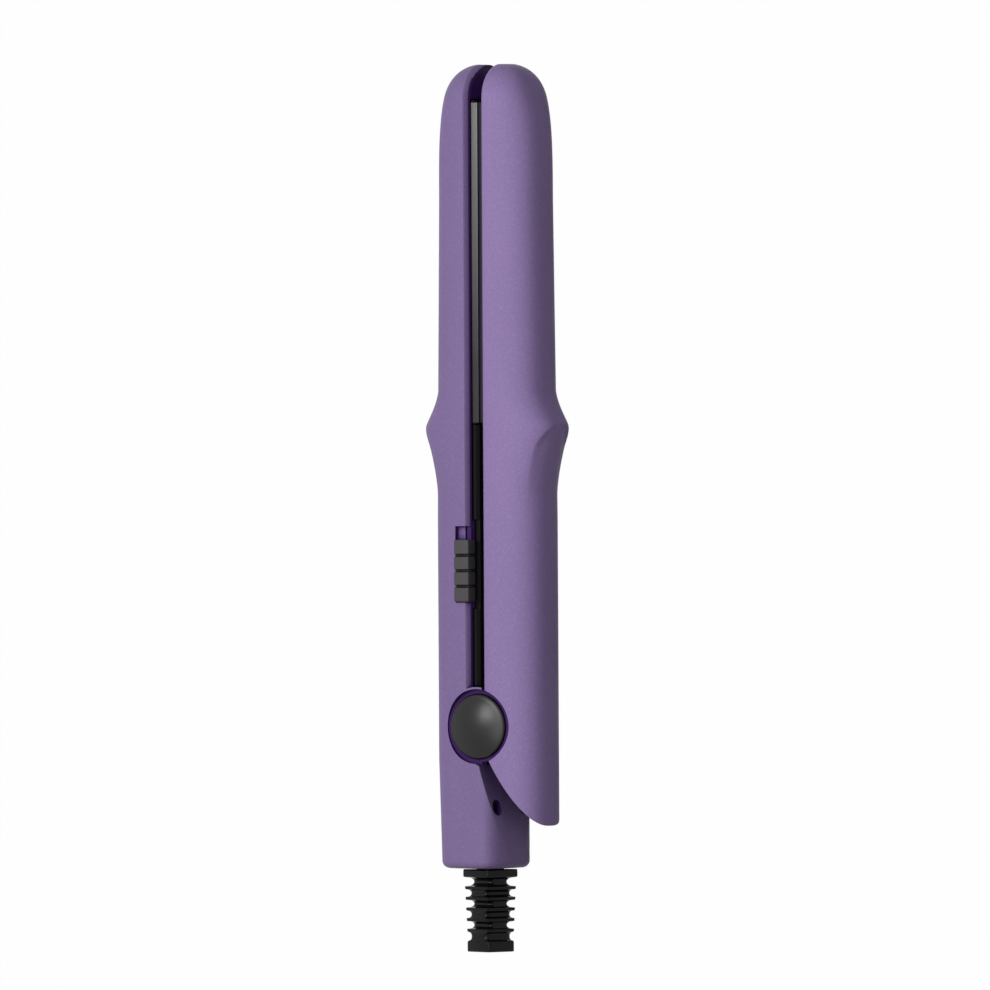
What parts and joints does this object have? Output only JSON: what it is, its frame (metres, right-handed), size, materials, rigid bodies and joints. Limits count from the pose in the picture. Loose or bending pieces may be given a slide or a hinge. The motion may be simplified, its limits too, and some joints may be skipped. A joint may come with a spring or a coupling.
{
  "type": "hair crimper",
  "caption": "Slim hand-held hair crimper: two half shells with corrugated heated plates on one hinge, a slide switch and a swivelling cord sleeve.",
  "frame": {"origin": "on the hinge axis, on the outer face of the lower hinge cap", "axes": "+Z along the hinge axis and up, +Y from the hinge to the tip, +X toward the side on which the lever opens"},
  "size_m": [0.0386, 0.221, 0.0214],
  "materials": {
    "shell": "pearly purple, satin gloss",
    "dark_plastic": "black, fine satin",
    "plate_light": "bare corrugated plate",
    "plate_dark": "dark coated corrugated plate",
    "ceramic": "ceramic heater",
    "steel": "zinc plated",
    "silicone": "silicone pad",
    "board": "solder resist",
    "soft_sleeve": "black, matt"
  },
  "bodies": {
    "housing": {"main_shell": "shell", "main_cover": "dark_plastic", "main_holder": "dark_plastic", "main_plate": "plate_light", "main_heater": "ceramic", "main_clip": "steel", "main_pads": "silicone", "main_screws": "steel", "hinge_pin": "steel", "hinge_cap_upper": "dark_plastic", "hinge_cap_lower": "dark_plastic", "hinge_washers": "steel", "circuit_board": "board", "board_screws": "steel", "switch_body": "steel", "cord_clamp": "dark_plastic", "clamp_screws": "steel"},
    "lever": {"lever_shell": "shell", "lever_cover": "dark_plastic", "lever_holder": "dark_plastic", "lever_plate": "plate_dark", "lever_heater": "ceramic", "lever_clip": "steel", "lever_pads": "silicone", "lever_screws": "steel", "hinge_sleeve": "steel"},
    "knob": {"switch_knob": "dark_plastic"},
    "sleeve": {"strain_relief": "soft_sleeve"}
  },
  "joints": [
    {"name": "lever_hinge", "type": "hinge", "parent": "housing", "child": "lever", "pos_m": [0, 0, 0.0107], "axis": [0, 0, -1], "range_deg": [0, 14]},
    {"name": "switch_slide", "type": "slide", "parent": "housing", "child": "knob", "axis": [0, 1, 0], "range_m": [0, 0.0032]},
    {"name": "sleeve_swivel", "type": "hinge", "parent": "housing", "child": "sleeve", "pos_m": [-0.00285, -0.0354, 0.0107], "axis": [0, -1, 0], "continuous": true}
  ]
}
